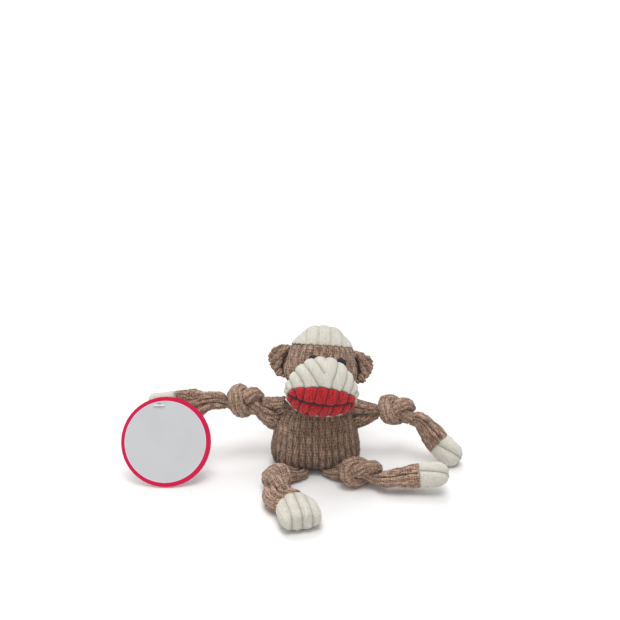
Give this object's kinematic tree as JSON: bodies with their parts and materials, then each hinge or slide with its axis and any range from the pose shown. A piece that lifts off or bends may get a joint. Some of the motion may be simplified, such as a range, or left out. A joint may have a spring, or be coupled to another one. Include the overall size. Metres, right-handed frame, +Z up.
{
  "type": "sock monkey doll",
  "caption": "Seated plush sock monkey of brown wide-wale corduroy with cream crown, muzzle, hands and feet, red lips, knotted arms and legs and a round hang tag.",
  "frame": {"origin": "on the floor at the middle of the flat seat", "axes": "+X to the doll's left, which is the viewer's right; +Y to the doll's back; +Z up"},
  "size_m": [0.234, 0.1375, 0.0913],
  "materials": {
    "brown_corduroy": "wide-wale corduroy pile",
    "cream_corduroy": "extra wide-wale corduroy pile",
    "red_corduroy": "extra wide-wale corduroy pile",
    "black_thread": "embroidery thread",
    "polyester_fill": "loose fibre",
    "squeaker_plastic": "moulded",
    "tag_card": "coated card with a printed rim",
    "clear_plastic": "clear nylon"
  },
  "bodies": {
    "torso": {"torso_front_panel": "brown_corduroy", "torso_back_panel": "brown_corduroy", "torso_stuffing": "polyester_fill", "torso_squeaker": "squeaker_plastic", "torso_squeaker_reed": "squeaker_plastic"},
    "head": {"crown_cap": "cream_corduroy", "face_panel": "brown_corduroy", "head_back_panel": "brown_corduroy", "head_stuffing": "polyester_fill", "right_eye": "black_thread", "left_eye": "black_thread", "muzzle_panel": "cream_corduroy", "upper_lip": "red_corduroy", "mouth_stitch": "black_thread", "lower_lip": "red_corduroy", "chin_panel": "cream_corduroy", "muzzle_stuffing": "polyester_fill"},
    "right_ear": {"right_ear_front_layer": "brown_corduroy", "right_ear_back_layer": "brown_corduroy"},
    "right_upper_arm": {"right_upper_arm": "brown_corduroy", "right_arm_knot": "brown_corduroy"},
    "right_forearm": {"right_forearm": "brown_corduroy", "right_hand": "cream_corduroy", "right_hand_stuffing": "polyester_fill", "tag_fastener": "clear_plastic"},
    "right_thigh": {"right_thigh": "brown_corduroy", "right_leg_knot": "brown_corduroy"},
    "right_shin": {"right_shin": "brown_corduroy", "right_foot": "cream_corduroy", "right_foot_stuffing": "polyester_fill"},
    "left_ear": {"left_ear_front_layer": "brown_corduroy", "left_ear_back_layer": "brown_corduroy"},
    "left_upper_arm": {"left_upper_arm": "brown_corduroy", "left_arm_knot": "brown_corduroy"},
    "left_forearm": {"left_forearm": "brown_corduroy", "left_hand": "cream_corduroy", "left_hand_stuffing": "polyester_fill"},
    "left_thigh": {"left_thigh": "brown_corduroy", "left_leg_knot": "brown_corduroy"},
    "left_shin": {"left_shin": "brown_corduroy", "left_foot": "cream_corduroy", "left_foot_stuffing": "polyester_fill"},
    "tag": {"tag_card": "tag_card"}
  },
  "joints": [
    {"name": "neck_nod", "type": "hinge", "parent": "torso", "child": "head", "pos_m": [0.0016, 0.0074, 0.037], "axis": [1, 0, 0], "range_deg": [-8, 15]},
    {"name": "right_ear_flap", "type": "hinge", "parent": "head", "child": "right_ear", "pos_m": [-0.02213, 0.02099, 0.06682], "axis": [0.0705, 0.4384, 0.896], "range_deg": [-20, 20], "stiffness_Nm_per_rad": 0.001},
    {"name": "left_ear_flap", "type": "hinge", "parent": "head", "child": "left_ear", "pos_m": [0.02971, 0.02099, 0.06274], "axis": [0.0705, 0.4384, 0.896], "range_deg": [-20, 20], "stiffness_Nm_per_rad": 0.001},
    {"name": "right_shoulder", "type": "hinge", "parent": "torso", "child": "right_upper_arm", "pos_m": [-0.03213, 0.00757, 0.031], "axis": [0, 1, 0], "range_deg": [-15, 40]},
    {"name": "right_elbow", "type": "hinge", "parent": "right_upper_arm", "child": "right_forearm", "pos_m": [-0.06797, 0.00191, 0.04535], "axis": [0, 1, 0], "range_deg": [-40, 50]},
    {"name": "left_shoulder", "type": "hinge", "parent": "torso", "child": "left_upper_arm", "pos_m": [0.03213, 0.00757, 0.031], "axis": [0, -1, 0], "range_deg": [-15, 40]},
    {"name": "left_elbow", "type": "hinge", "parent": "left_upper_arm", "child": "left_forearm", "pos_m": [0.06975, 0.00307, 0.0278], "axis": [0, -1, 0], "range_deg": [-20, 60]},
    {"name": "right_hip", "type": "hinge", "parent": "torso", "child": "right_thigh", "pos_m": [-0.013, -0.02212, 0.0085], "axis": [-0.9848, 0.1736, 0], "range_deg": [-30, 50]},
    {"name": "right_knee", "type": "hinge", "parent": "right_thigh", "child": "right_shin", "pos_m": [-0.03187, -0.06177, 0.00785], "axis": [-0.7071, -0.7071, 0], "range_deg": [-60, 25]},
    {"name": "left_hip", "type": "hinge", "parent": "torso", "child": "left_thigh", "pos_m": [0.013, -0.02212, 0.0085], "axis": [-0.5, -0.866, 0], "range_deg": [-30, 45]},
    {"name": "left_knee", "type": "hinge", "parent": "left_thigh", "child": "left_shin", "pos_m": [0.04738, -0.04016, 0.00793], "axis": [0, -1, 0], "range_deg": [-60, 40]},
    {"name": "tag_swing", "type": "hinge", "parent": "right_forearm", "child": "tag", "pos_m": [-0.10641, -0.00969, 0.04828], "axis": [0, 0.866, -0.5], "range_deg": [-40, 40]}
  ]
}
